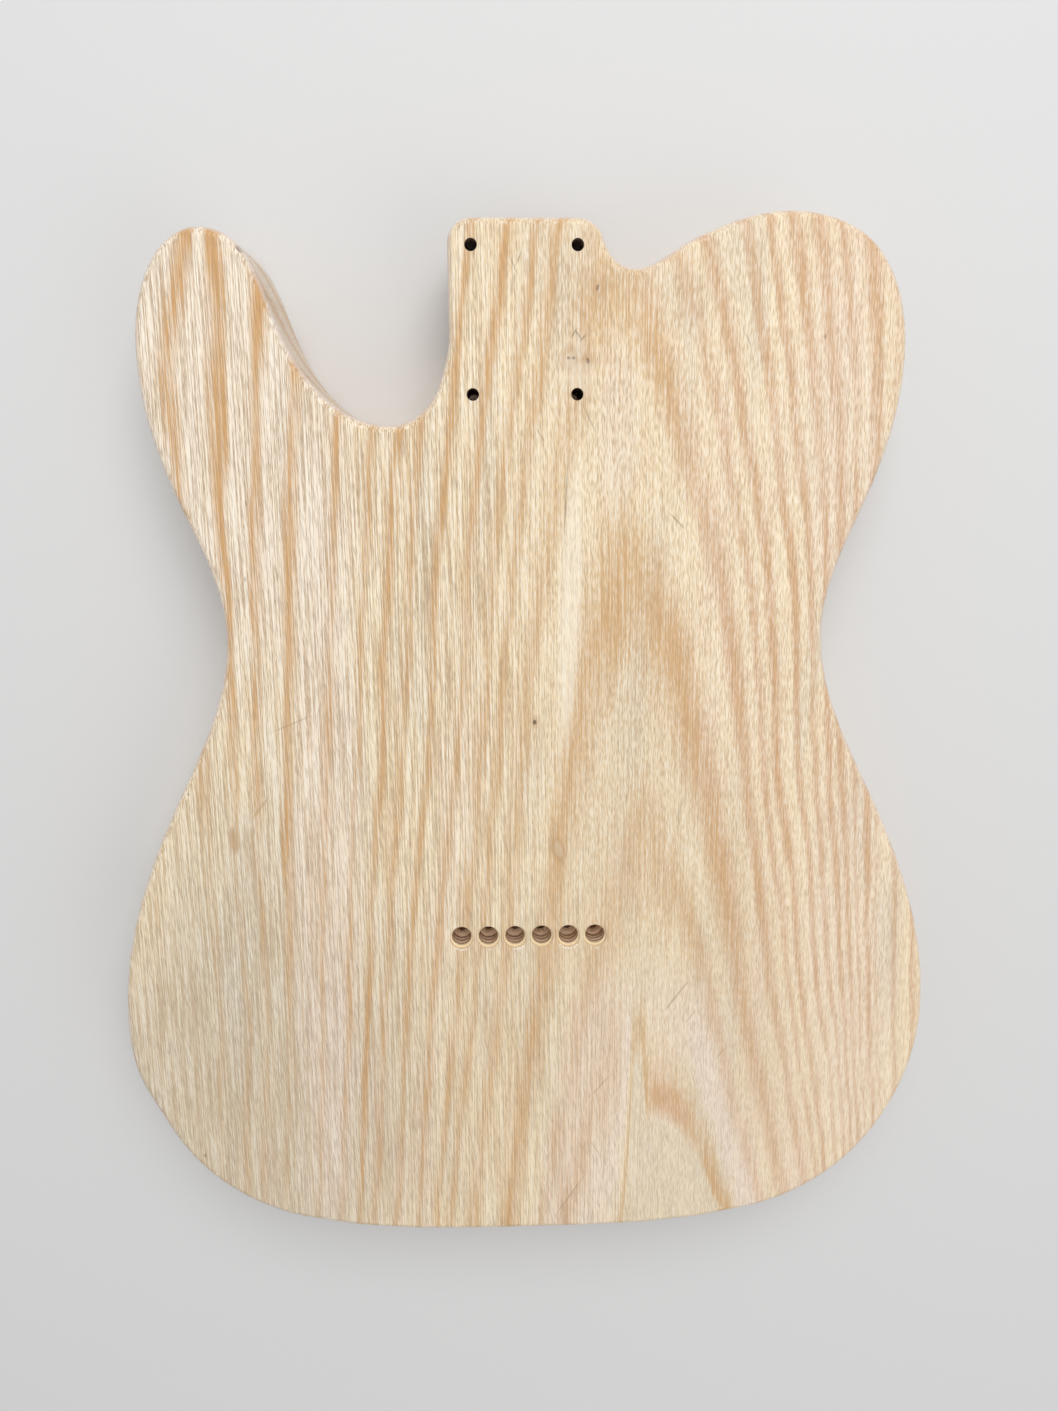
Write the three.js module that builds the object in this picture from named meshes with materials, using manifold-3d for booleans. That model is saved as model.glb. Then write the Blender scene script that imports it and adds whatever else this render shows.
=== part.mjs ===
// A bare solid electric guitar body with one cutaway, lying on its front with its back up.
// Two ash boards are glued edge to edge along the grain. The back has the neck screw holes and
// the six string ferrule bores, and the front has the neck pocket and the routs for the electrics.
// Millimetres, +Z out of the back, +Y to the neck end, +X to the full shoulder.
// Places along the body are measured from the heel's end, down towards the tail.
import * as THREE from "three";
import { mergeVertices } from "three/addons/utils/BufferGeometryUtils.js";
import Module from "manifold-3d";

const wasm = await Module();
wasm.setup();

// The slab
const thickness = 44.45;
const edgeRadius = 3;

// The outline: half-widths about the centreline, and how far down from the heel's end each lies
const bodyLength = 406;
const lowerBoutHalf = 163.6;
const lowerBoutDown = 306.4;
const waistHalf = 113.7;
const waistDown = 147.7;
const upperBoutHalf = 139.7;
const upperBoutDown = 47.4;
const shoulderTopHalf = 95;
const shoulderRise = 2.5;
const notchHalf = 39.6;
const notchDown = 17;
const hornTipHalf = 114.6;
const hornTipDown = 3.2;
const cutawayHalf = 49.8;
const cutawayDown = 71.3;

// The heel, with its two rounded corners and the straight side that the cutaway leaves
const heelHalf = 27.35;
const heelCornerReach = 8.6;
const heelSideDown = 39.2;
const heelNotchSideHalf = 28.4;
const heelNotchSideDown = 7;

// The edge passes each place at a heading, in degrees anticlockwise from +X
const rightHeading = 0;
const upHeading = 90;
const leftHeading = 180;
const downHeading = 270;
const notchSideHeading = 106;

// Bends between the widest and narrowest places. Each lies at two shares of the way from one
// place to the next, across and along the body.
const bendShares = {
  tail: { acrossShare: 0.588, alongShare: 0.078, heading: 15 },
  boutCorner: { acrossShare: 0.853, alongShare: 0.346, heading: 49 },
  flatEnd: { acrossShare: 0.861, alongShare: 0.373, heading: 52 },
  flatStart: { acrossShare: 0.963, alongShare: 0.676, heading: 63 },
  boutFlank: { acrossShare: 0.525, alongShare: 0.576, heading: 116.5 },
  upperFlank: { acrossShare: 0.505, alongShare: 0.455, heading: 67 },
  shoulderCorner: { acrossShare: 0.203, alongShare: 0.678, heading: 124 },
  shoulderSlope: { acrossShare: 0.632, alongShare: 0.51, heading: 206 },
  cutawayWall: { acrossShare: 0.189, alongShare: 0.581, heading: 249 },
  cutawayFlank: { acrossShare: 0.38, alongShare: 0.167, heading: 134 },
  hornInside: { acrossShare: 0.62, alongShare: 0.56, heading: 109 },
  hornShoulder: { acrossShare: 0.736, alongShare: 0.838, heading: 117 },
  hornCorner: { acrossShare: 0.637, alongShare: 0.207, heading: 234 },
};

// The boards and the glue between them. The seam lies on the cutaway side.
const seamAside = 92;
const glueThickness = 0.25;

// Neck pocket and the screw holes that go through its floor
const neckPocket = { width: 56, length: 76.2, depth: 15.9, cornerRadius: 4.8 };
const neckScrews = { across: 38, along: 51, centreDown: 35.1, holeRadius: 2.25 };

// String ferrules: a recess for the flange, a bore for the barrel and a hole for the string
const strings = 6;
const ferrule = {
  down: 271.4,
  pitch: 10.8,
  flangeRadius: 4.72,
  flangeDepth: 1.6,
  boreRadius: 3.97,
  boreDepth: 10.5,
  drillPointDepth: 1.2,
  stringRadius: 1.7,
};

// Routs in the front, with the wall that stands between the neck pocket and the first of them
const pocketWall = 9.5;
const neckRout = { width: 92, length: 22.2, depth: 19, cornerRadius: 11 };
const bridgeRout = { width: 72, length: 36, depth: 22, cornerRadius: 9.5 };
const bridgeRoutAhead = 47;
const bridgeRoutSlant = 15;
const controlRout = { width: 28.6, length: 133.4, depth: 38.1, cornerRadius: 10 };
const controlAside = 83;
const controlDown = 217;

// Drillings: the long one from the pocket to the bridge rout, the one to the control rout, and
// the jack bore from the edge of the lower bout. Like the control rout, all are on the cutaway side.
const wireDrillRadius = 4.75;
const longDrillAside = 10;
const longDrillHeight = 9.5;
const bridgeDrillDown = 237;
const bridgeDrillHeight = 14;
const jackRadius = 11.1;
const jackDown = 262;
const jackHeight = 22.2;

// How finely round shapes are cut into flats, and how far cutters run past what they cut
const turnPerFlat = 4;
const fewestFlats = 4;
const holeFlats = 24;
const cornerFlats = 6;
const edgeFlats = 4;
const overrun = 6;

// The origin lies midway between the tail and the top of the shoulder
const heelEnd = (bodyLength - shoulderRise) / 2;
const yAt = (down) => heelEnd - down;
const fullTurn = 360;

function station(x, down, heading) {
  return { x, y: yAt(down), heading };
}

function bend(from, to, shares) {
  return {
    x: THREE.MathUtils.lerp(from.x, to.x, shares.acrossShare),
    y: THREE.MathUtils.lerp(from.y, to.y, shares.alongShare),
    heading: shares.heading,
  };
}

// The same place on the other side, passed the other way round
function mirrored(place) {
  return { x: -place.x, y: place.y, heading: fullTurn - place.heading };
}

function turnBetween(from, to) {
  const turn = (to.heading - from.heading + fullTurn) % fullTurn;
  return Math.min(turn, fullTurn - turn);
}

// A cubic from one station to the next, with the handles of a circle's arc of the same turn
function edgeCurve(from, to) {
  const start = new THREE.Vector2(from.x, from.y);
  const end = new THREE.Vector2(to.x, to.y);
  const halfTurn = THREE.MathUtils.degToRad(turnBetween(from, to) / 2);
  const reach = (start.distanceTo(end) * 2) / (3 * (1 + Math.cos(halfTurn)));
  const handle = (place, length) => {
    const angle = THREE.MathUtils.degToRad(place.heading);
    return new THREE.Vector2(Math.cos(angle), Math.sin(angle)).multiplyScalar(length);
  };
  return new THREE.CubicBezierCurve(
    start,
    handle(from, reach).add(start),
    handle(to, -reach).add(end),
    end,
  );
}

// The stations of the whole edge, anticlockwise from the middle of the tail
function outlineStations() {
  const tail = station(0, bodyLength, rightHeading);
  const bout = station(lowerBoutHalf, lowerBoutDown, upHeading);
  const waist = station(waistHalf, waistDown, upHeading);
  const upperBout = station(upperBoutHalf, upperBoutDown, upHeading);
  const shoulderTop = station(shoulderTopHalf, -shoulderRise, leftHeading);
  const notch = station(notchHalf, notchDown, leftHeading);
  const heelRight = station(heelHalf - heelCornerReach, 0, leftHeading);
  const heelLeft = station(heelCornerReach - heelHalf, 0, leftHeading);
  const heelSideTop = station(-heelHalf, heelCornerReach, downHeading);
  const heelSideEnd = station(-heelHalf, heelSideDown, downHeading);
  const cutaway = station(-cutawayHalf, cutawayDown, leftHeading);
  const hornTip = station(-hornTipHalf, hornTipDown, leftHeading);

  const tailBend = bend(tail, bout, bendShares.tail);
  const boutFlank = bend(bout, waist, bendShares.boutFlank);
  const upperFlank = bend(waist, upperBout, bendShares.upperFlank);
  return [
    tail,
    tailBend,
    bend(tail, bout, bendShares.boutCorner),
    bout,
    boutFlank,
    waist,
    upperFlank,
    upperBout,
    bend(upperBout, shoulderTop, bendShares.shoulderCorner),
    shoulderTop,
    bend(shoulderTop, notch, bendShares.shoulderSlope),
    notch,
    station(heelNotchSideHalf, heelNotchSideDown, notchSideHeading),
    heelRight,
    heelLeft,
    heelSideTop,
    heelSideEnd,
    bend(heelSideEnd, cutaway, bendShares.cutawayWall),
    cutaway,
    bend(cutaway, hornTip, bendShares.cutawayFlank),
    bend(cutaway, hornTip, bendShares.hornInside),
    bend(cutaway, hornTip, bendShares.hornShoulder),
    hornTip,
    bend(hornTip, mirrored(upperBout), bendShares.hornCorner),
    mirrored(upperBout),
    mirrored(upperFlank),
    mirrored(waist),
    mirrored(boutFlank),
    mirrored(bout),
    mirrored(bend(tail, bout, bendShares.flatStart)),
    mirrored(bend(tail, bout, bendShares.flatEnd)),
    mirrored(tailBend),
    tail,
  ];
}

function outlineShape() {
  const stations = outlineStations();
  const points = [];
  stations.slice(1).forEach((to, index) => {
    const from = stations[index];
    const flats = Math.max(fewestFlats, Math.ceil(turnBetween(from, to) / turnPerFlat));
    points.push(...edgeCurve(from, to).getPoints(flats).slice(1));
  });
  return new THREE.Shape(points);
}

// A closed geometry as a manifold solid, without the triangles that shrink to a line at an axis
function solidFrom(geometry) {
  geometry.deleteAttribute("normal");
  geometry.deleteAttribute("uv");
  const merged = mergeVertices(geometry);
  const corners = merged.index.array;
  const kept = [];
  for (let i = 0; i < corners.length; i += 3) {
    const [a, b, c] = corners.slice(i, i + 3);
    if (a !== b && b !== c && c !== a) {
      kept.push(a, b, c);
    }
  }
  return new wasm.Manifold(
    new wasm.Mesh({
      numProp: 3,
      vertProperties: merged.attributes.position.array,
      triVerts: new Uint32Array(kept),
    }),
  );
}

function geometryFrom(solid) {
  const mesh = solid.getMesh();
  const geometry = new THREE.BufferGeometry();
  geometry.setAttribute("position", new THREE.BufferAttribute(mesh.vertProperties, mesh.numProp));
  geometry.setIndex(new THREE.BufferAttribute(mesh.triVerts, 1));
  geometry.computeVertexNormals();
  return geometry;
}

// The slab, with the same rounding along its front and back edges
function slab() {
  const geometry = new THREE.ExtrudeGeometry(outlineShape(), {
    depth: thickness - 2 * edgeRadius,
    bevelEnabled: true,
    bevelThickness: edgeRadius,
    bevelSize: edgeRadius,
    bevelOffset: -edgeRadius,
    bevelSegments: edgeFlats,
  });
  return solidFrom(geometry.translate(0, 0, edgeRadius));
}

function roundedRectangle(width, length, radius) {
  const x = width / 2;
  const y = length / 2;
  const quarter = Math.PI / 2;
  const shape = new THREE.Shape();
  shape.absarc(x - radius, y - radius, radius, 0, quarter);
  shape.absarc(radius - x, y - radius, radius, quarter, 2 * quarter);
  shape.absarc(radius - x, radius - y, radius, 2 * quarter, 3 * quarter);
  shape.absarc(x - radius, radius - y, radius, 3 * quarter, 4 * quarter);
  return shape;
}

// A flat-bottomed rout cut into the front
function rout(size, x, down, slant = 0) {
  const shape = roundedRectangle(size.width, size.length, size.cornerRadius);
  const geometry = new THREE.ExtrudeGeometry(shape, {
    depth: size.depth + overrun,
    bevelEnabled: false,
    curveSegments: cornerFlats,
  });
  geometry.rotateZ(THREE.MathUtils.degToRad(slant));
  return solidFrom(geometry.translate(x, yAt(down), -overrun));
}

// The neck pocket runs out through the heel's end
function neckPocketCut() {
  const openLength = neckPocket.length + neckPocket.cornerRadius + overrun;
  const size = { ...neckPocket, length: openLength };
  return rout(size, 0, neckPocket.length - openLength / 2);
}

function drilling(radius, length) {
  return new THREE.CylinderGeometry(radius, radius, length, holeFlats);
}

function neckScrewHole(x, down) {
  const hole = drilling(neckScrews.holeRadius, thickness + 2 * overrun);
  hole.rotateX(Math.PI / 2);
  return solidFrom(hole.translate(x, yAt(down), thickness / 2));
}

function neckScrewHoles() {
  const holes = [];
  for (const side of [-1, 1]) {
    for (const row of [-1, 1]) {
      const down = neckScrews.centreDown + (row * neckScrews.along) / 2;
      holes.push(neckScrewHole((side * neckScrews.across) / 2, down));
    }
  }
  return holes;
}

// One stepped bore, turned from its section: string hole, drill point, barrel bore and recess
function ferruleBore(x) {
  const boreFloor = thickness - ferrule.boreDepth;
  const recessFloor = thickness - ferrule.flangeDepth;
  const section = [
    [0, -overrun],
    [ferrule.stringRadius, -overrun],
    [ferrule.stringRadius, boreFloor - ferrule.drillPointDepth],
    [ferrule.boreRadius, boreFloor],
    [ferrule.boreRadius, recessFloor],
    [ferrule.flangeRadius, recessFloor],
    [ferrule.flangeRadius, thickness + overrun],
    [0, thickness + overrun],
  ].map(([radius, height]) => new THREE.Vector2(radius, height));
  const bore = new THREE.LatheGeometry(section, holeFlats);
  bore.rotateX(Math.PI / 2);
  return solidFrom(bore.translate(x, yAt(ferrule.down), 0));
}

function ferruleBores() {
  const bores = [];
  for (let string = 0; string < strings; string += 1) {
    bores.push(ferruleBore((string - (strings - 1) / 2) * ferrule.pitch));
  }
  return bores;
}

// The long wire drilling runs from the neck pocket, through the neck rout, to the bridge rout
function longDrilling() {
  const from = neckPocket.length - overrun;
  const to = ferrule.down - bridgeRoutAhead;
  const hole = drilling(wireDrillRadius, to - from);
  return solidFrom(hole.translate(-longDrillAside, yAt((from + to) / 2), longDrillHeight));
}

function crossDrilling(radius, fromX, toX, down, height) {
  const hole = drilling(radius, toX - fromX);
  hole.rotateZ(Math.PI / 2);
  return solidFrom(hole.translate((fromX + toX) / 2, yAt(down), height));
}

function bridgeDrilling() {
  const toX = bridgeRout.cornerRadius - bridgeRout.width / 2;
  return crossDrilling(wireDrillRadius, -controlAside, toX, bridgeDrillDown, bridgeDrillHeight);
}

function jackBore() {
  const fromX = -lowerBoutHalf - overrun;
  return crossDrilling(jackRadius, fromX, -controlAside, jackDown, jackHeight);
}

function cutBody() {
  const neckRoutDown = neckPocket.length + pocketWall + neckRout.length / 2;
  const cuts = [
    neckPocketCut(),
    rout(neckRout, 0, neckRoutDown),
    rout(bridgeRout, 0, ferrule.down - bridgeRoutAhead, bridgeRoutSlant),
    rout(controlRout, -controlAside, controlDown),
    longDrilling(),
    bridgeDrilling(),
    jackBore(),
    ...neckScrewHoles(),
    ...ferruleBores(),
  ];
  return cuts.reduce((body, cut) => body.subtract(cut), slab());
}

// What the body holds between two planes across it. Neighbours share the plane between them.
function between(body, fromX, toX) {
  const far = bodyLength / 2 + overrun;
  const corners = [
    [fromX, -far],
    [toX, -far],
    [toX, far],
    [fromX, far],
  ].map(([x, y]) => new THREE.Vector2(x, y));
  const block = new THREE.ExtrudeGeometry(new THREE.Shape(corners), {
    depth: thickness + 2 * overrun,
    bevelEnabled: false,
  });
  return body.intersect(solidFrom(block.translate(0, 0, -overrun)));
}

function pieceMesh(name, solid, look) {
  const mesh = new THREE.Mesh(geometryFrom(solid), new THREE.MeshStandardMaterial(look));
  mesh.name = name;
  return mesh;
}

function guitarBody() {
  const body = cutBody();
  const edge = lowerBoutHalf + overrun;
  const glueFrom = -seamAside - glueThickness / 2;
  const glueTo = -seamAside + glueThickness / 2;
  const group = new THREE.Group();
  group.add(
    pieceMesh("narrow_board", between(body, -edge, glueFrom), {
      color: 0xddc19c,
      roughness: 0.62,
      metalness: 0,
    }),
    pieceMesh("glue_line", between(body, glueFrom, glueTo), {
      color: 0xc2a67a,
      roughness: 0.45,
      metalness: 0,
    }),
    pieceMesh("wide_board", between(body, glueTo, edge), {
      color: 0xe0c6a6,
      roughness: 0.62,
      metalness: 0,
    }),
  );
  return group;
}

export default guitarBody();
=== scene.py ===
"""Bare ash body of a single-cutaway solid electric guitar, lying on its front with its back up."""

import math

import bmesh
import bpy
from bpy.props import FloatProperty, FloatVectorProperty, IntProperty, PointerProperty
from mathutils import Matrix, Vector


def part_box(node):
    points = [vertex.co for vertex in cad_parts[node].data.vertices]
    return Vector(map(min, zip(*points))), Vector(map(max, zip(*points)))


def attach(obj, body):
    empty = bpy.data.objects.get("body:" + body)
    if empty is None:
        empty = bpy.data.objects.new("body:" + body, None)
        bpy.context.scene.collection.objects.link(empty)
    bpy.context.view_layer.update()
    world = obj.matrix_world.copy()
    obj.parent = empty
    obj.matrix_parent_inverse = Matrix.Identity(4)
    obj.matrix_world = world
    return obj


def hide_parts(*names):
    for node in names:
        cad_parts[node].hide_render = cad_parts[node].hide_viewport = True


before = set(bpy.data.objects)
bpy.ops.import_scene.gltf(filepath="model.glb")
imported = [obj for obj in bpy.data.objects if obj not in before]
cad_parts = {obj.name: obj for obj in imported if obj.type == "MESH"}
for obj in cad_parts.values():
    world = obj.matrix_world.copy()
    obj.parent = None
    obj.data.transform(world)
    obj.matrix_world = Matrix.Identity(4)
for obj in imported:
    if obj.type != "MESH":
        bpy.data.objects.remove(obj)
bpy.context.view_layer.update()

bl_info = {
    "name": "Ash guitar body",
    "version": (1, 0, 0),
    "blender": (4, 5, 0),
    "location": "View3D > Sidebar > Guitar body",
    "description": "Builds a two-board ash guitar body with its routs, bores and figured grain",
    "category": "Object",
}

MM = 0.001
BODY = "root"
# Slots of a board's materials: the outside, what is routed or drilled, and the broken rims.
SKIN, CUT, RIM = 0, 1, 2
# Bores of the back beyond this place, in metres towards the heel, are the neck screw holes.
SCREWS_BEYOND = 0.1

# How near points, levels and the seam count as the same place, in metres.
MERGE_WITHIN = 0.002 * MM
LEVEL_WITHIN = 0.01 * MM
SEAM_WITHIN = 0.5 * MM
# Angles between faces: taken as flat, broken as a rim, the end of the outside, and shaded sharp.
FLAT_WITHIN = math.radians(0.3)
RIM_CORNER = math.radians(60)
SKIN_CORNER = math.radians(50)
SHARP_CORNER = math.radians(33)

# The camera fitted to the photograph: focal length for the sensor's width in mm, turns in radians
# one after the other, and place in mm.
SENSOR_WIDTH = 36.0
CAMERA_LENS = 26.68
CAMERA_TURNS = (("Z", -0.0056), ("Y", -0.0313), ("X", -0.2025))
CAMERA_PLACE = (-11.171, 106.862, 439.446)
# The floor lies this far under the body, and the fill lamp has this share of the key's power.
FLOOR_DROP = 0.05 * MM
FILL_SHARE = 0.18

# Where the frame puts the object, in metres.
WIDE_LOW, WIDE_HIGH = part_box("wide_board")
THICKNESS = float(WIDE_HIGH[2] - WIDE_LOW[2])
BACK_MM = THICKNESS / MM

# Growth rings as they meet the back, in mm: radius, strength, fade towards the pith and away
# from it. On a line from 0 to 1 the strength RING_SCALE stands at 1. Going outwards a ring ends
# at the latest RING_GAP before halfway to the next, where the line stands at RING_TRACE.
RINGS_TREBLE = (
    (29.6, 0.85, 0.9, 3.0),
    (41.0, 0.55, 3.6, 3.0),
    (51.6, 0.85, 4.6, 3.8),
    (63.0, 0.62, 3.0, 5.0),
    (71.0, 0.62, 2.0, 2.6),
    (76.4, 0.66, 1.8, 2.6),
    (84.6, 0.78, 2.2, 2.2),
    (94.4, 0.86, 1.6, 2.2),
    (103.8, 0.66, 2.0, 5.0),
    (111.0, 1.00, 1.6, 2.2),
    (119.6, 0.82, 2.6, 1.6),
    (130.8, 0.80, 2.0, 2.6),
    (146.6, 1.05, 4.0, 2.4),
    (158.6, 1.0, 4.0, 2.0),
    (167.4, 1.05, 1.6, 4.4),
    (181.8, 0.85, 4.6, 3.4),
    (191.5, 0.22, 1.8, 4.0),
    (204.0, 0.22, 2.0, 4.0),
    (212.5, 0.22, 2.0, 3.0),
    (224.0, 0.22, 2.0, 3.0),
)
RINGS_BASS = (
    (29.6, 0.95, 0.9, 4.0),
    (42.0, 0.66, 3.6, 2.4),
    (51.2, 0.85, 4.4, 4.0),
    (61.6, 0.70, 2.2, 5.0),
    (68.0, 0.62, 1.4, 1.8),
    (72.6, 0.95, 1.2, 1.8),
    (78.8, 0.95, 1.2, 1.4),
    (83.2, 0.75, 1.2, 1.6),
    (87.8, 0.90, 1.4, 1.6),
    (92.0, 0.80, 1.8, 1.8),
    (96.0, 0.66, 1.2, 1.0),
    (100.9, 1.0, 2.4, 1.6),
    (104.0, 0.35, 1.0, 1.4),
    (113.0, 0.60, 2.0, 1.8),
    (122.6, 0.62, 1.8, 2.4),
    (134.0, 0.60, 2.0, 3.0),
    (146.0, 0.60, 2.0, 3.0),
)
RING_REACH = 236.0
RING_SCALE = 1.25
RING_GAP = 0.2
RING_TRACE = 0.06

# The pith line under the back: its x and its depth, as sums over y / 100, in mm.
PITH_ASIDE = (42.79, -12.661, 2.865)
PITH_BELOW = (44.706, -6.403)
# How the rings drift from circles, over n = y / 100 and far = distance from the pith line / 100:
# the terms n, far n, n n, far n n, far far n and far far far.
RING_DRIFT = (16.003, -15.196, 0.344, 3.379, -8.668, -1.43)
# Parts of the figure, each from where it begins to where it is full: in mm from the pith line
# for the two sides, and in mm along y for the tail.
BOLD_SIDE = (-5.0, -70.0)
SMOOTH_SIDE = (5.0, 40.0)
TAIL_END = (-70.0, -115.0)
# How ragged the rings are, in mm: anywhere, added on the bold side, added over the pith, and
# taken from that at the tail.
RAGGED, RAGGED_BOLD, RAGGED_CROWN, RAGGED_TAIL = 0.7, 1.0, 8.5, 6.0
# How far slow and quicker waves push the rings aside, in mm.
WANDER, SWAY = 8.0, 3.4

# Noise patterns: mm across and along the grain, detail, roughness, and an offset that tells
# them apart.
PATTERNS = {
    "wander": (38.0, 150.0, 1.0, 0.5, 3.1),
    "sway": (11.0, 42.0, 1.0, 0.5, 8.7),
    "streak": (0.95, 22.0, 2.0, 0.6, 1.7),
    "swell": (14.0, 60.0, 2.0, 0.5, 5.5),
    "mottle": (4.2, 70.0, 1.0, 0.5, 2.2),
    "fibre": (0.42, 34.0, 0.0, 0.5, 4.4),
    "hair": (0.36, 3.0, 0.0, 0.5, 5.3),
    "dashes": (0.36, 6.5, 0.0, 0.5, 9.3),
    "blotch": (34.0, 80.0, 2.0, 0.5, 6.1),
    "tint": (16.0, 110.0, 1.0, 0.5, 7.9),
}
PORE_LEAN = math.radians(-5.0)

# Colours that the wood is shaded with, beside the settings in the panel.
GREYED = (0.66, 0.58, 0.47, 1.0)
WARMED = (0.90, 0.70, 0.55, 1.0)
LILAC_BAND = (0.90, 0.75, 0.64, 1.0)
INSIDE_ARCH = (0.76, 0.65, 0.49, 1.0)
DARK_FIBRE = (0.46, 0.32, 0.195, 1.0)
LIGHT_FIBRE = (1.0, 0.95, 0.83, 1.0)
OPEN_PORE = (0.37, 0.265, 0.175, 1.0)
# Painted sheen: the cool tint of light caught on the roundover at the back.
PAINTED_EDGE_SHEEN = (0.80, 0.70, 0.66, 1.0)
# Painted shade: the grey that steep sides get, as if they lay in shadow.
PAINTED_SIDE_SHADE = (0.76, 0.67, 0.60, 1.0)
CUT_WALL = (0.52, 0.31, 0.18, 1.0)
# Painted light that brightens the ledges of the recesses against the shade in them.
PAINTED_LEDGE_LIGHT = (1.0, 0.86, 0.58, 1.0)
LIT_WALL = (1.0, 0.82, 0.56, 1.0)
# Painted shade deeper in the bores, weaker on the walls that face the light.
PAINTED_DEEP_SHADE = (0.48, 0.25, 0.15, 1.0)
# Tool ridges of the ferrule bores are real marks. Their dark and light bands are painted shade and
# light that their relief would catch.
DARK_RIDGE = (0.17, 0.09, 0.06, 1.0)
LIGHT_RIDGE = (1.0, 0.74, 0.54, 1.0)
# Painted shade: near black for the deep neck screw holes.
SCREW_HOLE_SHADE = (0.09, 0.055, 0.03, 1.0)
# Distance from one tool ridge of a ferrule bore to the next, in mm.
RIDGE_PITCH = 2.9

# Wide zones where the whole board changes colour, laid out as the marks below are.
ZONE_DEPTH = 400.0
ZONES = {
    "grey_bout": (
        (0.50, 0.425, 0.335, 1.0),
        ((-118.0, -150.0, 62.0, 84.0, -12, 0.50),),
    ),
    "green_tan": (
        (0.64, 0.55, 0.40, 1.0),
        (
            (-122.0, -75.0, 13.0, 70.0, 0, 0.36),
            (-100.0, -120.0, 3.0, 70.0, -2, 0.34),
            (5.0, -110.0, 9.0, 50.0, 4, 0.26),
            (74.0, -160.0, 8.0, 40.0, 14, 0.26),
        ),
    ),
    "rosy": (
        (0.88, 0.72, 0.60, 1.0),
        (
            (-80.0, -50.0, 11.0, 150.0, -2, 0.55),
            (34.0, 128.0, 6.0, 26.0, 0, 0.40),
            (132.0, -90.0, 16.0, 80.0, 4, 0.34),
            (118.0, 120.0, 14.0, 50.0, 4, 0.34),
            (100.0, -150.0, 40.0, 40.0, 0, 0.12),
        ),
    ),
    "lilac_horn": (
        (0.98, 0.86, 0.73, 1.0),
        ((-122.0, 136.0, 42.0, 84.0, 10, 0.66),),
    ),
    "russet": (
        (0.74, 0.44, 0.27, 1.0),
        ((59.5, -147.0, 5.0, 10.0, 34, 0.66),),
    ),
    "tan_heart": (
        (0.66, 0.50, 0.335, 1.0),
        (
            (38.0, -40.0, 20.0, 90.0, 0, 0.30),
            (-30.0, -120.0, 26.0, 70.0, 0, 0.18),
            (57.0, 174.0, 8.0, 11.0, 20, 0.45),
            (13.0, 174.0, 3.4, 18.0, -4, 0.42),
            (38.0, 182.0, 12.0, 6.0, 10, 0.34),
            (78.0, -70.0, 20.0, 80.0, 12, 0.30),
        ),
    ),
}

# Small marks on the back, in mm: x, y, half width, half length, lean in degrees, strength.
MARK_DEPTH = 4.0
# A mark reaches out to this many of its half sizes, and is full from this share of the way to
# its middle on.
MARK_FADE = 1.6
MARK_FULL = 0.55
DARK_BROWN = (0.085, 0.045, 0.024, 1.0)
FERRULE_ROW = -69.65
FERRULES = (-27.0, -16.2, -5.4, 5.4, 16.2, 27.0)
SPLINTERS = (
    (-28.8, -74.5, 0),
    (-27.5, -75.0, 20),
    (-26.3, -74.9, 0),
    (-25.1, -74.6, 30),
    (-15.6, -74.9, 0),
    (-5.8, -75.0, 0),
    (-4.5, -74.9, 25),
    (-3.4, -74.7, 0),
    (-2.2, -74.0, 40),
    (12.9, -73.4, 0),
    (13.9, -74.3, 10),
    (15.0, -74.8, 0),
    (16.2, -75.0, 30),
    (17.4, -74.8, 0),
    (18.6, -74.4, 15),
    (19.6, -73.6, 0),
    (27.8, -75.0, 0),
)
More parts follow.
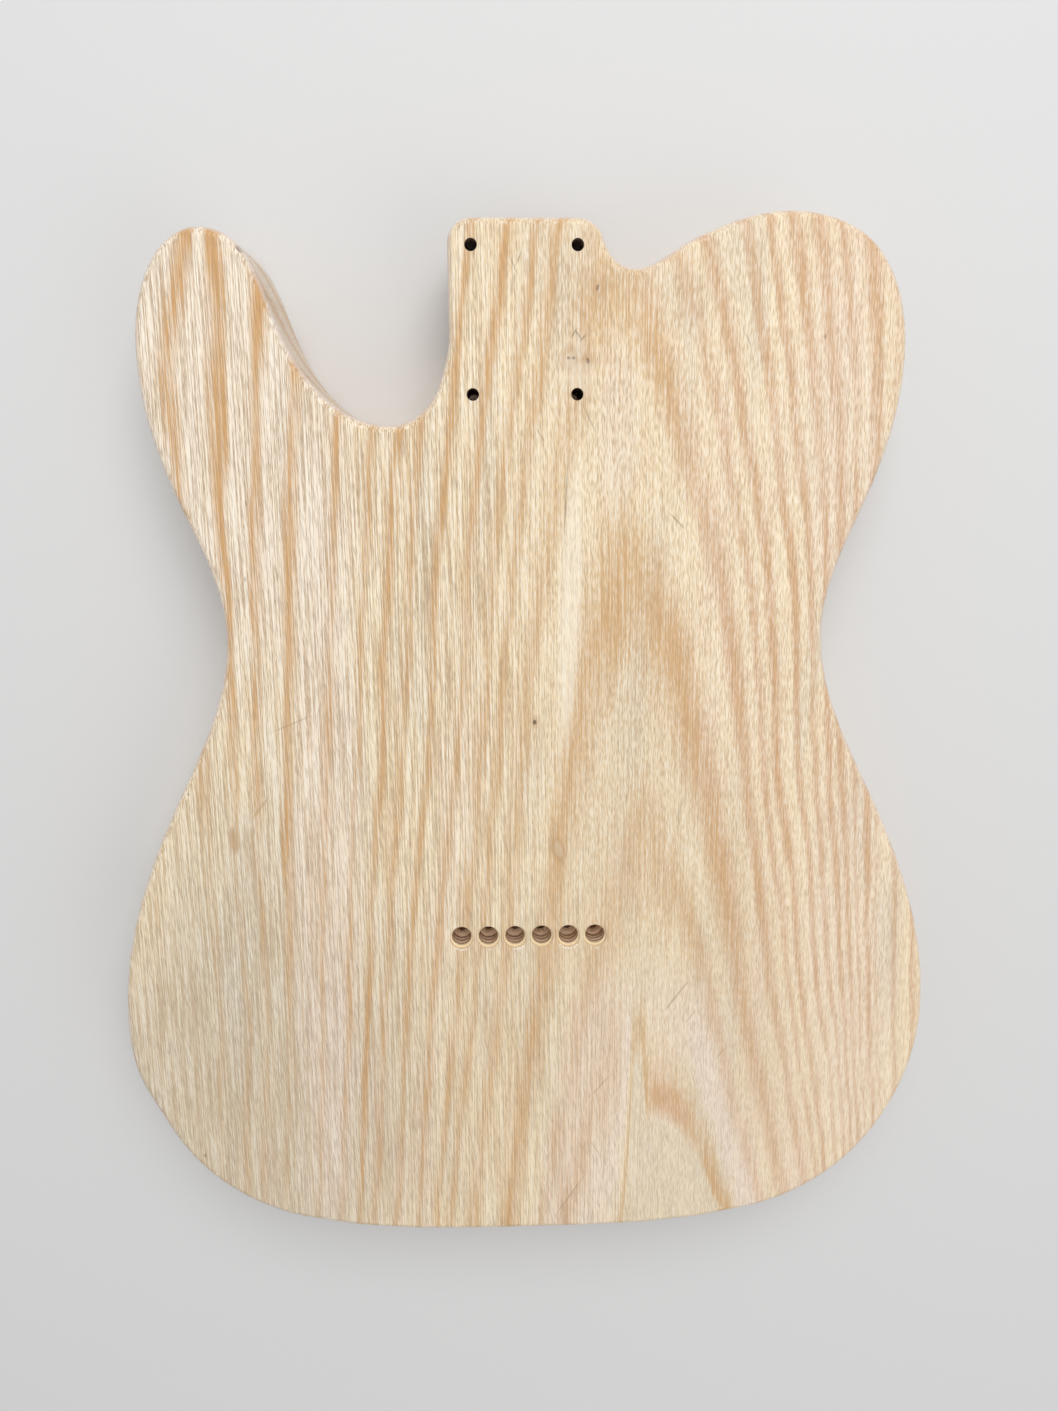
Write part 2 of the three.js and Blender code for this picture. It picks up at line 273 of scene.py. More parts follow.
MARKS = {
    "swirls_and_ferrule_shade": (
        (0.52, 0.33, 0.17, 1.0),
        (
            (16.6, 153.6, 3.0, 4.2, 0, 0.34),
            (22.7, 152.7, 2.0, 3.2, 0, 0.36),
            (26.0, 177.6, 2.6, 4.0, 0, 0.30),
            (12.0, -33.0, 2.4, 4.8, 12, 0.62),
            (-115.5, -27.0, 1.7, 4.4, 3, 0.62),
            (-104.6, -14.2, 0.5, 5.0, -38, 0.45),
            (2.9, 19.0, 1.6, 2.4, 0, 0.35),
            (-111.0, -34.0, 1.0, 9.0, 4, 0.30),
            # Painted shade: a soft brown disc over each ferrule recess and bore, where shade falls.
            *((x, FERRULE_ROW, 3.5, 3.5, 0, 0.95) for x in FERRULES),
        ),
    ),
    "pale_cores": (
        (1.0, 0.92, 0.78, 1.0),
        (
            (16.5, 62.0, 3.4, 42.0, -2, 0.42),
            (12.2, -32.8, 1.2, 3.0, 12, 0.20),
            (20.0, 147.0, 4.0, 5.0, 0, 0.30),
            (16.6, 152.6, 1.7, 2.4, 0, 0.28),
            (22.6, 151.0, 1.2, 1.6, 0, 0.24),
            (20.0, 157.5, 1.6, 4.0, 0, 0.26),
            (-110.0, -18.0, 1.6, 4.6, 8, 0.30),
            *((x, y, 0.34, 0.30, lean, 0.95) for x, y, lean in SPLINTERS),
        ),
    ),
    "pins": (
        DARK_BROWN,
        (
            (15.8, 153.8, 0.55, 0.50, 0, 0.51),
            (17.6, 153.8, 0.55, 0.50, 0, 0.51),
            (22.8, 152.8, 0.50, 0.95, 12, 0.54),
            (26.1, 177.8, 0.45, 0.95, -14, 0.54),
            (2.9, 19.0, 0.60, 0.85, 0, 0.80),
            (-132.0, -8.0, 0.45, 0.6, 0, 0.37),
            (-136.0, -165.0, 0.45, 0.7, 0, 0.37),
            (-103.0, 103.0, 0.35, 0.9, 10, 0.34),
            (-105.0, 75.0, 0.35, 0.9, 0, 0.34),
            (17.8, 162.4, 0.30, 1.6, -30, 0.41),
            (19.3, 161.8, 0.30, 1.8, 38, 0.41),
            (20.9, 160.6, 0.30, 1.2, -40, 0.41),
            (-2.0, 187.6, 0.26, 2.6, -24, 0.34),
            (-3.9, 185.4, 0.24, 2.4, 22, 0.34),
            (-4.0, 180.5, 0.24, 2.0, -4, 0.27),
            (23.8, 131.7, 0.28, 4.2, 26, 0.31),
            (56.5, 95.5, 0.30, 3.6, 45, 0.37),
            (109.0, 161.0, 0.50, 0.70, 0, 0.34),
            (5.5, 126.8, 0.28, 2.5, 30, 0.31),
            (15.0, 105.0, 0.34, 13.0, -3, 0.33),
            (-100.4, 191.0, 0.80, 1.6, 40, 0.72),
            (-115.3, 198.3, 0.45, 0.6, 0, 0.40),
            (81.0, 160.0, 0.28, 2.0, 24, 0.27),
        ),
    ),
    "scratches": (
        (0.33, 0.21, 0.12, 1.0),
        (
            (-90.5, 19.5, 0.30, 7.2, -68, 0.31),
            (61.0, -96.5, 0.34, 6.8, -36, 0.42),
            (67.0, -106.0, 0.30, 2.6, -34, 0.31),
            (79.0, -124.0, 0.30, 3.0, -40, 0.27),
            (30.0, -136.5, 0.30, 5.0, -40, 0.34),
            (16.5, -189.0, 0.32, 8.2, -33, 0.37),
            (28.0, -166.5, 0.28, 4.0, 30, 0.27),
            (35.5, -24.5, 0.28, 2.8, 12, 0.31),
            (60.0, -20.0, 0.30, 5.5, 0, 0.27),
            (30.0, -111.5, 0.30, 6.5, 0, 0.27),
        ),
    ),
}


class GuitarWood(bpy.types.PropertyGroup):
    """Sizes and colours of the bare ash."""

    rim_bevel: FloatProperty(
        name="Rim bevel",
        description="Width asked for on the broken edges, before overlaps are clamped",
        default=0.35 * MM,
        min=0.0,
        subtype="DISTANCE",
        unit="LENGTH",
    )
    grain_depth: FloatProperty(
        name="Grain depth",
        description="How deep the open pores are below the sanded face",
        default=0.09 * MM,
        min=0.0,
        subtype="DISTANCE",
        unit="LENGTH",
    )
    pale_ash: FloatVectorProperty(
        name="Pale ash",
        description="Colour of the densest wood between the rings",
        default=(0.970, 0.808, 0.556),
        subtype="COLOR",
        min=0.0,
        max=1.0,
    )
    tan_ash: FloatVectorProperty(
        name="Tan ash",
        description="Colour of the softer wood round the rings",
        default=(0.775, 0.575, 0.342),
        subtype="COLOR",
        min=0.0,
        max=1.0,
    )
    rosy_ash: FloatVectorProperty(
        name="Rosy ash",
        description="Colour of the same wood to the right of the pith line",
        default=(0.750, 0.505, 0.335),
        subtype="COLOR",
        min=0.0,
        max=1.0,
    )
    ring_brown: FloatVectorProperty(
        name="Ring brown",
        description="Colour of the porous early wood in each ring",
        default=(0.655, 0.385, 0.170),
        subtype="COLOR",
        min=0.0,
        max=1.0,
    )
    rim_pale: FloatVectorProperty(
        name="Rim fibres",
        description="Colour of the crushed fibres on the broken edges",
        default=(0.90, 0.77, 0.58),
        subtype="COLOR",
        min=0.0,
        max=1.0,
    )
    ring_strength: FloatProperty(
        name="Ring strength",
        description="How strongly the rings stand out",
        default=1.0,
        min=0.0,
        max=2.0,
        subtype="FACTOR",
    )


class GuitarGlue(bpy.types.PropertyGroup):
    """Finish of the glue between the boards."""

    glue_honey: FloatVectorProperty(
        name="Glue",
        description="Colour of the dried wood glue",
        default=(0.74, 0.57, 0.38),
        subtype="COLOR",
        min=0.0,
        max=1.0,
    )


class GuitarStage(bpy.types.PropertyGroup):
    """Floor and light round the body."""

    floor_pale: FloatVectorProperty(
        name="Floor",
        description="Colour of the plain floor",
        default=(0.74, 0.74, 0.74),
        subtype="COLOR",
        min=0.0,
        max=1.0,
    )
    key_power: FloatProperty(
        name="Key light",
        description="Power of the large soft lamp beyond the heel, in watts",
        default=10.0,
        min=0.0,
    )
    sky_level: FloatProperty(
        name="Sky level",
        description="Strength of the even light from all round",
        default=0.56,
        min=0.0,
    )
    floor_size: FloatProperty(
        name="Floor size",
        description="Half of the side of the square floor",
        default=3.0,
        min=0.5,
        subtype="DISTANCE",
        unit="LENGTH",
    )
    floor_cuts: IntProperty(
        name="Floor rows",
        description="How many squares the floor is divided into along a side",
        default=8,
        min=1,
    )


class Value:
    """A number in a finish, on which sums can be written."""

    def __init__(self, finish, socket):
        self.finish = finish
        self.socket = socket

    def _sum(self, operation, *numbers):
        settings = {"operation": operation}
        node = self.finish.node("ShaderNodeMath", settings, dict(enumerate(numbers)))
        return Value(self.finish, node.outputs[0])

    def __add__(self, other):
        return self._sum("ADD", self, other)

    def __radd__(self, other):
        return self._sum("ADD", other, self)

    def __sub__(self, other):
        return self._sum("SUBTRACT", self, other)

    def __rsub__(self, other):
        return self._sum("SUBTRACT", other, self)

    def __mul__(self, other):
        return self._sum("MULTIPLY", self, other)

    def __rmul__(self, other):
        return self._sum("MULTIPLY", other, self)

    def __truediv__(self, other):
        return self._sum("DIVIDE", self, other)

    def __pow__(self, other):
        return self._sum("POWER", self, other)

    def __neg__(self):
        return self._sum("MULTIPLY", self, -1.0)

    def __abs__(self):
        return self._sum("ABSOLUTE", self)

    def root(self):
        return self._sum("SQRT", self)

    def sine(self):
        return self._sum("SINE", self)

    def least(self, other):
        return self._sum("MINIMUM", self, other)

    def most(self, other):
        return self._sum("MAXIMUM", self, other)

    def rise(self, low, high, to_low=0.0, to_high=1.0):
        """Goes smoothly from to_low at low to to_high at high."""
        settings = {"interpolation_type": "SMOOTHSTEP"}
        sockets = {0: self, 1: low, 2: high, 3: to_low, 4: to_high}
        made = self.finish.node("ShaderNodeMapRange", settings, sockets)
        return Value(self.finish, made.outputs[0])


class Finish:
    """A procedural material and the few ways in which its nodes are made."""

    def __init__(self, name):
        self.material = bpy.data.materials.new(name)
        self.material.use_nodes = True
        self.nodes = self.material.node_tree.nodes
        self.links = self.material.node_tree.links
        self.shader = self.nodes["Principled BSDF"]

    def node(self, kind, settings=None, sockets=None):
        made = self.nodes.new(kind)
        for key, value in (settings or {}).items():
            setattr(made, key, value)
        for key, value in (sockets or {}).items():
            self.join(made.inputs[key], value)
        return made

    def join(self, socket, value):
        if isinstance(value, Value):
            value = value.socket
        if isinstance(value, bpy.types.NodeSocket):
            self.links.new(value, socket)
        else:
            socket.default_value = value

    def place(self):
        """The point of the surface in millimetres, as a vector and as three numbers."""
        spot = self.node("ShaderNodeTexCoord").outputs["Object"]
        sockets = {0: spot, "Scale": 1 / MM}
        scaled = self.node("ShaderNodeVectorMath", {"operation": "SCALE"}, sockets)
        parts = self.node("ShaderNodeSeparateXYZ", None, {0: scaled.outputs[0]})
        return scaled.outputs[0], [Value(self, s) for s in parts.outputs]

    def pattern(self, spot, name):
        """One of the noise patterns at a point, a soft random value about 0.5."""
        across, along, detail, roughness, offset = PATTERNS[name]
        squeeze = (1 / across, 1 / along, 1 / across)
        sockets = {0: spot, 1: squeeze}
        squeezed = self.node("ShaderNodeVectorMath", {"operation": "MULTIPLY"}, sockets)
        sockets = {0: squeezed.outputs[0], 1: (offset, offset, offset)}
        moved = self.node("ShaderNodeVectorMath", {"operation": "ADD"}, sockets)
        sockets = {"Vector": moved.outputs[0], "Scale": 1.0}
        sockets |= {"Detail": detail, "Roughness": roughness}
        made = self.node("ShaderNodeTexNoise", {"noise_dimensions": "3D"}, sockets)
        return Value(self, made.outputs[0])

    def curve(self, value, points):
        """A value read from a line through the points, whose places run from 0 to 1."""
        made = self.node("ShaderNodeFloatCurve", None, {"Value": value})
        line = made.mapping.curves[0]
        first, last = points[0], points[-1]
        line.points[0].location = first
        line.points[1].location = last
        for spot in points[1:-1]:
            line.points.new(*spot)
        for point in line.points:
            point.handle_type = "VECTOR"
        made.mapping.update()
        return Value(self, made.outputs[0])

    def marks(self, spot, marks, depth):
        """Soft spots on the back, each with x, y, half sizes, lean in degrees and strength."""
        total = None
        for x, y, across, along, lean, strength in marks:
            sockets = {
                "Vector": spot,
                "Location": (x, y, BACK_MM),
                "Rotation": (0.0, 0.0, math.radians(lean)),
                "Scale": (across * MARK_FADE, along * MARK_FADE, depth),
            }
            there = self.node("ShaderNodeMapping", {"vector_type": "TEXTURE"}, sockets)
            sockets = {0: there.outputs[0]}
            ball = self.node("ShaderNodeTexGradient", {"gradient_type": "SPHERICAL"}, sockets)
            one = Value(self, ball.outputs[1]).rise(0.0, MARK_FULL, 0.0, strength)
            total = one if total is None else total.most(one)
        return total

    def facing(self, axis):
        """How far the surface faces along an axis of the frame, from -1 to 1."""
        normal = self.node("ShaderNodeNewGeometry").outputs["Normal"]
        parts = self.node("ShaderNodeSeparateXYZ", None, {0: normal})
        return Value(self, parts.outputs[axis])

    def facing_up(self):
        """How far the surface faces straight up or down, from 0 to 1."""
        return abs(self.facing(2))

    def mix(self, factor, first, second):
        settings = {"data_type": "RGBA", "blend_type": "MIX", "clamp_factor": True}
        made = self.node("ShaderNodeMix", settings, {0: factor, 6: first, 7: second})
        return made.outputs[2]


def colour(rgb):
    return (*rgb, 1.0)


def ring_line(rings):
    """Points of the line of darkness over radius for a set of rings, from 0 to 1 both ways."""
    spots = {0.0: 0.0, RING_REACH: 0.0}
    for radius, strength, _, _ in rings:
        spots[radius] = strength / RING_SCALE
    ordered = sorted(rings)
    for i, (radius, _, inner, outer) in enumerate(ordered):
        before = ordered[i - 1][0] if i else 0.0
        after = ordered[i + 1][0] if i + 1 < len(ordered) else RING_REACH
        low = max(radius - inner, (before + radius) / 2)
        high = min(radius + outer, (after + radius) / 2 - RING_GAP)
        spots.setdefault(low, 0.0)
        spots.setdefault(high, RING_TRACE)
    return [(place / RING_REACH, value) for place, value in sorted(spots.items())]


def growth_rings(wood, spot, x, y, z):
    """The rings where they meet the surface, and where the point lies among them.

    Gives the ring's strength and ragged radius, how near the pith line the point is, and how
    far it is on the bold side, on the smooth side and at the tail.
    """
    # Slow waves and fine raggedness of the rings along the fibres.
    wander = wood.pattern(spot, "wander") - 0.5
    sway = wood.pattern(spot, "sway") - 0.5
    streak = wood.pattern(spot, "streak") - 0.5
    east = x + wander * WANDER + sway * SWAY

    n = y / 100.0
    off = east - (PITH_ASIDE[0] + PITH_ASIDE[1] * n + PITH_ASIDE[2] * n * n)
    far = off / 100.0
    below = PITH_BELOW[0] + PITH_BELOW[1] * n + (BACK_MM - z)
    out = (off * off + below * below).root()
    drift = RING_DRIFT
    radius = out + drift[0] * n + drift[1] * far * n + drift[2] * n * n + drift[3] * far * n * n
    radius = radius + drift[4] * far * far * n + drift[5] * far * far * far

    crown = 1.0 - (abs(off) / out)
    bold = off.rise(*BOLD_SIDE)
    right = off.rise(*SMOOTH_SIDE)
    tail = y.rise(*TAIL_END)
    torn = RAGGED + bold * RAGGED_BOLD + (RAGGED_CROWN - tail * RAGGED_TAIL) * crown * crown
    ragged = radius + streak * torn

    # The innermost arch at the tail has an upright left leg.
    upright = x.rise(44.0, 37.0, 0.0, 7.0) - x.rise(50.0, 46.0, 0.0, 4.0) * x.rise(41.0, 44.0)
    ragged = ragged + upright * tail * ragged.rise(40.0, 33.0)
    # The outermost ring of the horn leans inwards towards its tip.
    inwards = ((y - 162.0) * 0.19).most(-2.5) * y.rise(70.0, 110.0)
    ragged = ragged + inwards * off.rise(-138.0, -146.0)

    # Left of the pith line the treble rings are read, right of it the bass rings.
    side = off.rise(-10.0, 10.0)
    treble = wood.curve(ragged / RING_REACH, ring_line(RINGS_TREBLE))
    bass = wood.curve(ragged / RING_REACH, ring_line(RINGS_BASS))
    rings = (treble + (bass - treble) * side) * RING_SCALE

    # They swell and fade along the grain. They are stronger towards the heel and on the smooth
    # side, and weaker at the left of the lower bout and on the smooth side of the tail.
    swell = wood.pattern(spot, "swell").rise(0.25, 0.70, 0.70, 1.16)
    rings = rings * swell * y.rise(10.0, 140.0, 1.0, 1.25) * y.rise(120.0, 180.0, 1.0, 1.22)
    rings = rings * (1.0 - off.rise(-135.0, -165.0, 0.0, 0.6) * y.rise(30.0, -40.0))
    rings = rings * (1.0 + right * y.rise(130.0, 50.0, 0.10, 0.80))
    rings = rings * (1.0 - right * y.rise(-50.0, -130.0, 0.0, 0.42))
    return rings, ragged, crown, bold, right, tail


def painted_edge_sheen_and_shade(wood, base, z):
    """The outside is painted with a cool sheen where it rounds over at the back, and with grey
    shade on its steep sides.
    """
    facing = wood.facing_up()
    # Painted sheen: the roundover at the back is cooled towards lavender, as if catching light.
    edge = facing.rise(0.93, 0.45, 0.0, 0.55) * z.rise(BACK_MM - 4.5, BACK_MM - 2.0)
    base = wood.mix(edge, base, PAINTED_EDGE_SHEEN)
    # Painted shade: steep sides are greyed as if they lay in shadow.
    return wood.mix(facing.rise(0.5, 0.1, 0.0, 0.42), base, PAINTED_SIDE_SHADE)


def bore_tint(wood, base, x, y, z, mottle):
    """Bores and routs are darker on their walls, with tool ridges in the ferrule bores. Their
    ledges and the walls that face the heel get painted light. The walls deeper down and the screw
    holes get painted shade, and the ridges get painted dark and light bands.
    """
    wall = wood.facing_up().rise(0.5, 0.2)
    tailward = wood.facing(1).rise(0.15, 0.85)
    base = wood.mix(wall * 0.20, base, CUT_WALL)
    # Painted light: the recess ledges are lifted to a bright cream against the shade that falls in
    # them.
    ledge = z.rise(BACK_MM - 1.9, BACK_MM - 1.65) * (1.0 - wall)
    base = wood.mix(ledge * 0.75, base, PAINTED_LEDGE_LIGHT)

    # Painted light on the walls at the tail side, which face the heel and the key lamp.
    lit = tailward * z.rise(BACK_MM - 4.6, BACK_MM - 2.0)
    base = wood.mix(lit * 0.75, base, LIT_WALL)
    # Painted shade: walls darken with depth below the back, less on the lit walls.
    deep = z.rise(BACK_MM - 1.7, BACK_MM - 3.0)
    base = wood.mix(deep * (0.20 - tailward * 0.16), base, PAINTED_DEEP_SHADE)
    row = abs(y - FERRULE_ROW).rise(6.5, 5.5) * abs(x).rise(33.0, 32.0) * z.rise(29.0, 30.0)
    # The real tool ridges, painted as dark and light bands: shade in the grooves, light on the
    # crests.
    ridge = (z * (2 * math.pi / RIDGE_PITCH) + mottle).sine()
    base = wood.mix(ridge.rise(0.2, 0.9) * deep * row * 0.70, base, DARK_RIDGE)
    base = wood.mix((-ridge).rise(0.3, 0.95) * deep * row * 0.85, base, LIGHT_RIDGE)

    # Painted shade: the walls of the neck screw holes are made near black, as the shade in them
    # would be.
    screw = wall * y.rise(104.0, 108.0) * z.rise(17.0, 19.0)
    return wood.mix(screw * 0.80, base, SCREW_HOLE_SHADE)


def ash(name, settings, drilled):
    """Flat-sawn ash, either sanded or drilled, with rings streaked by fibres and open pores."""
    wood = Finish(name)
    spot, (x, y, z) = wood.place()
    rings, ragged, crown, bold, right, tail = growth_rings(wood, spot, x, y, z)

    # Fibres and pores. The pores lean a little from the rings.
    turned = {"Vector": spot, "Rotation": (0.0, 0.0, PORE_LEAN)}
    leaning = wood.node("ShaderNodeMapping", None, turned)
    mottle = wood.pattern(spot, "mottle").rise(0.34, 0.66)
    fibre = wood.pattern(spot, "fibre").rise(0.32, 0.68)
    hair = wood.pattern(spot, "hair").rise(0.34, 0.66)
    dashes = wood.pattern(leaning.outputs[0], "dashes").rise(0.53, 0.70)
    blotch = wood.pattern(spot, "blotch").rise(0.32, 0.68)
    tint = wood.pattern(spot, "tint")

    # The ground: pale between the rings, tan or rosy round them, and drifting in tone.
    halo = rings.least(1.0) ** 0.7
    core = rings ** 1.15
    tan = mottle * (0.10 + bold * 0.16) + blotch * (0.18 - right * 0.08)
    tan = tan + halo * (0.70 + right * 0.14)
    late = wood.mix(right, colour(settings.tan_ash), colour(settings.rosy_ash))
    base = wood.mix(tan.least(1.0), colour(settings.pale_ash), late)
    base = wood.mix(tint.rise(0.52, 0.75, 0.0, 0.40), base, GREYED)
    base = wood.mix(tint.rise(0.45, 0.22, 0.0, 0.45), base, WARMED)
    for shade, marks in ZONES.values():
        base = wood.mix(wood.marks(spot, marks, ZONE_DEPTH), base, shade)
    lilac = ragged.rise(31.0, 36.0) * ragged.rise(46.0, 40.0) * tail
    base = wood.mix(lilac * 0.60, base, LILAC_BAND)
    base = wood.mix(ragged.rise(29.5, 28.0) * tail * 0.55, base, INSIDE_ARCH)

    # Fibre lines, then the brown early wood, the open pores and the small marks over them.
    strands = 0.22 + crown * 0.18 + bold * 0.76 + core.least(1.0) * 0.20
    line = (hair - 0.5) * (0.60 - bold * 0.30) + (fibre - 0.5) * strands
    line = line * y.rise(-170.0, 90.0, 0.62, 1.16)
    base = wood.mix(line.most(0.0), base, DARK_FIBRE)
    base = wood.mix((-line).most(0.0), base, LIGHT_FIBRE)
    brown = core * settings.ring_strength * (0.46 + fibre * 0.42)
    brown = brown * (1.0 + bold * 0.22 - right * 0.48)
    base = wood.mix(brown.least(1.0), base, colour(settings.ring_brown))
    dash = dashes * (0.14 + bold * 0.22)
    base = wood.mix(dash, base, OPEN_PORE)
    for shade, marks in MARKS.values():
        base = wood.mix(wood.marks(spot, marks, MARK_DEPTH), base, shade)
    # The drilled faces get painted light and shade in their bores, the outside painted sheen and
    # shade on its edges and sides.
    if drilled:
        base = bore_tint(wood, base, x, y, z, mottle)
    else:
        base = painted_edge_sheen_and_shade(wood, base, z)

    wood.join(wood.shader.inputs["Base Color"], base)
    wood.join(wood.shader.inputs["Roughness"], 0.55 + dash * 0.3 + fibre * 0.08)
    wood.shader.inputs["Specular IOR Level"].default_value = 0.35
    height = fibre * 0.3 + hair * 0.25 - dashes
    sockets = {"Height": height, "Distance": settings.grain_depth, "Strength": 0.7}
    bump = wood.node("ShaderNodeBump", None, sockets)
    wood.join(wood.shader.inputs["Normal"], bump.outputs[0])
    return wood.material


def board_mesh(node, rim):
    """The piece's mesh, merged from its frame node, with broken rims round its bores and routs.

    On the wide board they come out about 0.03 mm wide, since overlaps are clamped, and look
    nearly sharp.
    """
    work = bmesh.new()
    work.from_mesh(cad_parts[node].data)
    bmesh.ops.remove_doubles(work, verts=work.verts, dist=MERGE_WITHIN)
    bmesh.ops.dissolve_limit(
        work,
        angle_limit=FLAT_WITHIN,
        use_dissolve_boundaries=False,
        verts=work.verts,
        edges=work.edges,
    )
    work.normal_update()
    for face in work.faces:
        face.material_index = CUT
    for face in skin_of(work):
        face.material_index = SKIN
    rims = []
    for edge in work.edges:
        if len(edge.link_faces) != 2 or edge.calc_face_angle(0.0) < RIM_CORNER:
            continue
        flat, wall = sorted(edge.link_faces, key=lambda f: -abs(f.normal.z))
        level = flat.calc_center_median().z
        on_face = min(abs(level), abs(level - THICKNESS)) < LEVEL_WITHIN
        if abs(flat.normal.z) > 0.999 and on_face and abs(wall.normal.z) < 0.05:
            at_seam = abs(wall.normal.x) > 0.9999 and on_seam(wall)
            if not at_seam:
                rims.append(edge)
    if rims and rim > 0:
        made = bmesh.ops.bevel(
            work,
            geom=rims,
            offset=rim,
            offset_type="OFFSET",
            segments=2,
            profile=0.5,
            affect="EDGES",
            clamp_overlap=True,
            material=-1,
        )
        for face in made["faces"]:
            middle = face.calc_center_median()
            screw_hole = middle.z > THICKNESS / 2 and middle.y > SCREWS_BEYOND
            face.material_index = CUT if screw_hole else RIM
    return work


def skin_of(work):
    """The faces reached from the back without crossing a sharp corner: the outside of the board."""
    start = max(work.faces, key=lambda f: f.calc_area() if f.normal.z > 0.999 else 0.0)
    reached, waiting = {start}, [start]
    while waiting:
        face = waiting.pop()
        for edge in face.edges:
            if len(edge.link_faces) != 2 or edge.calc_face_angle(0.0) > SKIN_CORNER:
                continue
            for other in edge.link_faces:
                if other not in reached:
                    reached.add(other)
                    waiting.append(other)
    return reached


def on_seam(face):
    """Whether a face lies where the boards are glued."""
    low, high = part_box("glue_line")
    middle = face.calc_center_median().x
    return float(low[0]) - SEAM_WITHIN < middle < float(high[0]) + SEAM_WITHIN


def finish_piece(work, name, materials, node):
    """Turns the worked mesh into a smooth-shaded piece that stands for its node."""
    work.normal_update()
    for face in work.faces:
        face.smooth = True
    for edge in work.edges:
        edge.smooth = edge.calc_face_angle(0.0) < SHARP_CORNER
    mesh = bpy.data.meshes.new(name)
    work.to_mesh(mesh)
    work.free()
    piece = bpy.data.objects.new(name, mesh)
    bpy.context.scene.collection.objects.link(piece)
    for material in materials:
        mesh.materials.append(material)
    shade = piece.modifiers.new("Flat faces stay flat", "WEIGHTED_NORMAL")
    shade.mode = "FACE_AREA"
    shade.keep_sharp = True
    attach(piece, BODY)
    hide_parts(node)
    return piece


class GUITAR_OT_boards(bpy.types.Operator):
    """Makes the two ash boards with their bores, routs and figured grain"""

    bl_idname = "guitar.boards"
    bl_label = "Ash boards"

    def execute(self, context):
        settings = context.scene.guitar_wood
        sanded = ash("sanded_ash", settings, drilled=False)
        drilled = ash("drilled_ash", settings, drilled=True)
        rim = Finish("crushed_rim_fibres")
        rim.shader.inputs["Base Color"].default_value = colour(settings.rim_pale)
        rim.shader.inputs["Roughness"].default_value = 0.7
        finishes = (sanded, drilled, rim.material)
        for name, node, slot in (
            ("full_shoulder_board", "wide_board", "wide_board_ash"),
            ("horn_side_board", "narrow_board", "narrow_board_ash"),
        ):
            finish_piece(board_mesh(node, settings.rim_bevel), name, finishes, node)
        return {"FINISHED"}


class GUITAR_OT_glue(bpy.types.Operator):
    """Makes the thin glue line between the boards"""

    bl_idname = "guitar.glue"
    bl_label = "Glue line"

    def execute(self, context):
        settings = context.scene.guitar_glue
        glue = Finish("dried_wood_glue")
        glue.shader.inputs["Base Color"].default_value = colour(settings.glue_honey)
        glue.shader.inputs["Roughness"].default_value = 0.45
        work = board_mesh("glue_line", 0.0)
        finish_piece(work, "board_joint_glue", (glue.material,) * 3, "glue_line")
        return {"FINISHED"}


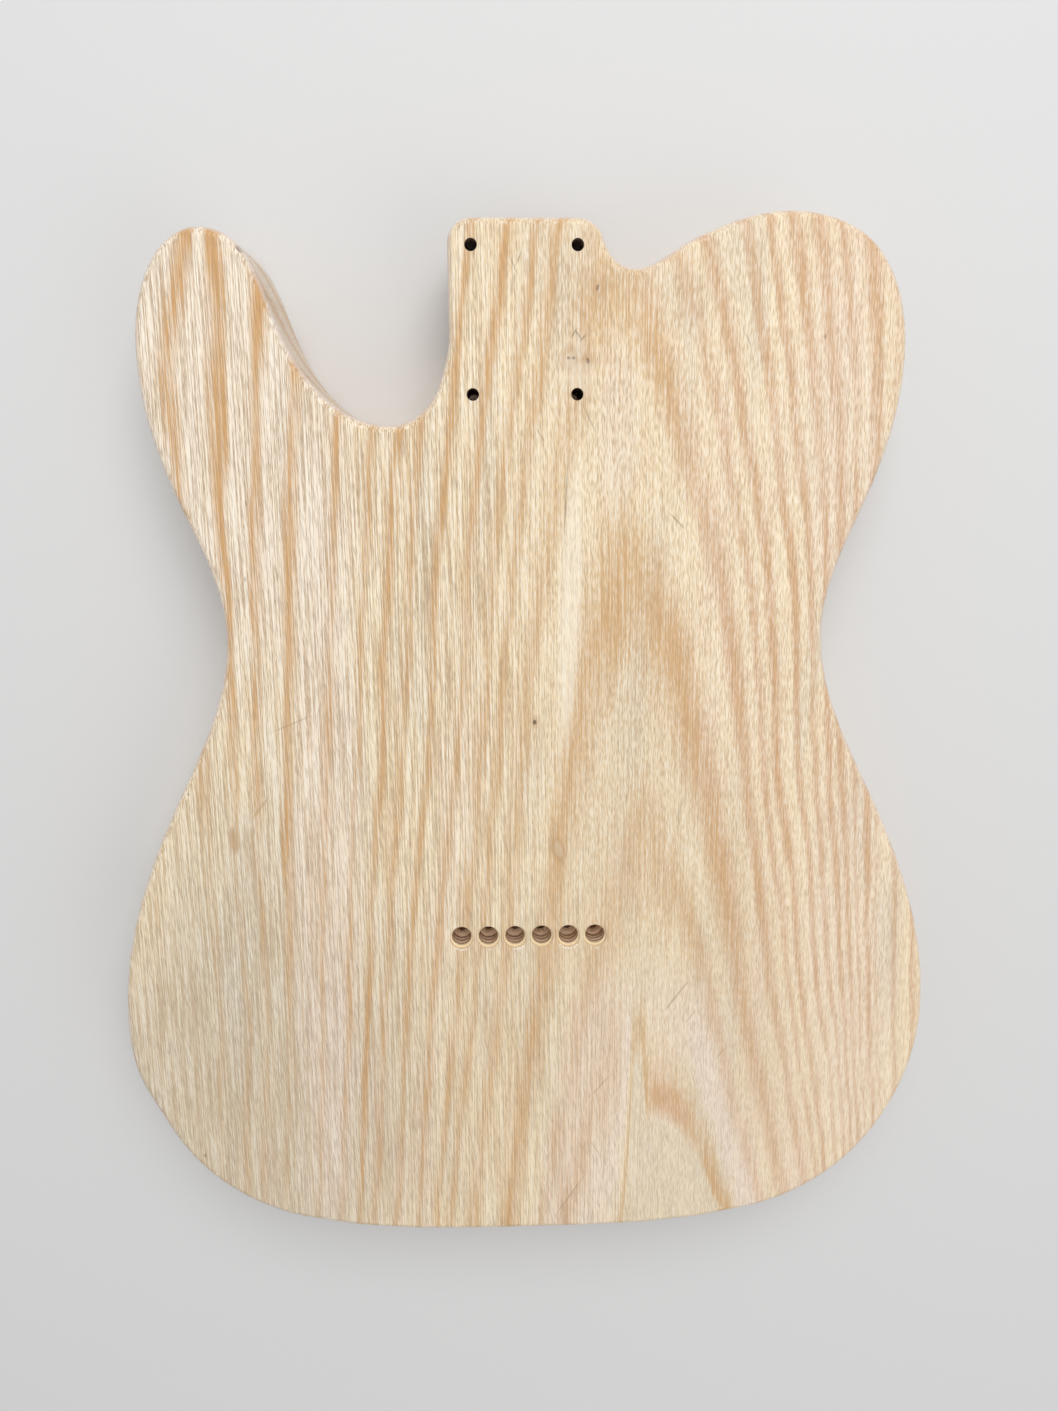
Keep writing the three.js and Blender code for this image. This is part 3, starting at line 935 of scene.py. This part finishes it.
class GUITAR_OT_stage(bpy.types.Operator):
    """Makes the floor, the soft light and the camera"""

    bl_idname = "guitar.stage"
    bl_label = "Floor, light and camera"

    def execute(self, context):
        settings = context.scene.guitar_stage
        scene = context.scene
        scene.view_settings.view_transform = "Standard"

        work = bmesh.new()
        bmesh.ops.create_grid(
            work,
            x_segments=settings.floor_cuts,
            y_segments=settings.floor_cuts,
            size=settings.floor_size,
            matrix=Matrix.Translation((0.0, 0.0, -FLOOR_DROP)),
        )
        mesh = bpy.data.meshes.new("studio_floor")
        work.to_mesh(mesh)
        work.free()
        floor = bpy.data.objects.new("studio_floor", mesh)
        scene.collection.objects.link(floor)
        ground = Finish("plain_pale_floor")
        ground.shader.inputs["Base Color"].default_value = colour(settings.floor_pale)
        ground.shader.inputs["Roughness"].default_value = 0.9
        ground.shader.inputs["Specular IOR Level"].default_value = 0.1
        mesh.materials.append(ground.material)

        world = bpy.data.worlds.new("studio_sky")
        world.use_nodes = True
        sky = world.node_tree.nodes["Background"]
        sky.inputs["Color"].default_value = (1.0, 1.0, 1.0, 1.0)
        sky.inputs["Strength"].default_value = settings.sky_level
        scene.world = world

        lamps = (
            ("key_lamp", (0.12, 0.85, 1.15), 0.9, settings.key_power),
            ("fill_lamp", (0.75, -0.55, 1.10), 0.8, settings.key_power * FILL_SHARE),
        )
        for name, spot, size, power in lamps:
            data = bpy.data.lights.new(name, "AREA")
            data.shape = "SQUARE"
            data.size = size
            data.energy = power
            lamp = bpy.data.objects.new(name, data)
            aim = Vector(spot) - Vector((0.0, 0.0, THICKNESS))
            turn = aim.to_track_quat("Z", "Y").to_matrix().to_4x4()
            lamp.matrix_world = Matrix.Translation(spot) @ turn
            scene.collection.objects.link(lamp)

        data = bpy.data.cameras.new("photo_camera")
        data.sensor_width = SENSOR_WIDTH
        data.lens = CAMERA_LENS
        data.clip_start = 0.01
        camera = bpy.data.objects.new("photo_camera", data)
        turn = Matrix.Identity(3)
        for axis, angle in CAMERA_TURNS:
            turn = turn @ Matrix.Rotation(angle, 3, axis)
        spot = Vector(CAMERA_PLACE) * MM
        camera.matrix_world = Matrix.Translation(spot) @ turn.to_4x4()
        scene.collection.objects.link(camera)
        scene.camera = camera
        return {"FINISHED"}


class GUITAR_PT_panel(bpy.types.Panel):
    """Lists the pieces of the body and their settings"""

    bl_idname = "GUITAR_PT_panel"
    bl_label = "Guitar body"
    bl_space_type = "VIEW_3D"
    bl_region_type = "UI"
    bl_category = "Guitar body"

    def draw(self, context):
        layout = self.layout
        for group, operators in STEPS:
            settings = getattr(context.scene, group)
            for key in settings.__annotations__:
                layout.prop(settings, key)
            for operator in operators:
                layout.operator(operator.bl_idname)


STEPS = (
    ("guitar_wood", (GUITAR_OT_boards,)),
    ("guitar_glue", (GUITAR_OT_glue,)),
    ("guitar_stage", (GUITAR_OT_stage,)),
)
GROUPS = {
    "guitar_wood": GuitarWood,
    "guitar_glue": GuitarGlue,
    "guitar_stage": GuitarStage,
}
OTHERS = (GUITAR_OT_boards, GUITAR_OT_glue, GUITAR_OT_stage, GUITAR_PT_panel)


def register():
    for name, group in GROUPS.items():
        bpy.utils.register_class(group)
        setattr(bpy.types.Scene, name, PointerProperty(type=group))
    for kind in OTHERS:
        bpy.utils.register_class(kind)


def unregister():
    for kind in reversed(OTHERS):
        bpy.utils.unregister_class(kind)
    for name, group in GROUPS.items():
        delattr(bpy.types.Scene, name)
        bpy.utils.unregister_class(group)


def main():
    register()
    bpy.ops.guitar.boards()
    bpy.ops.guitar.glue()
    bpy.ops.guitar.stage()


if __name__ == "__main__":
    main()
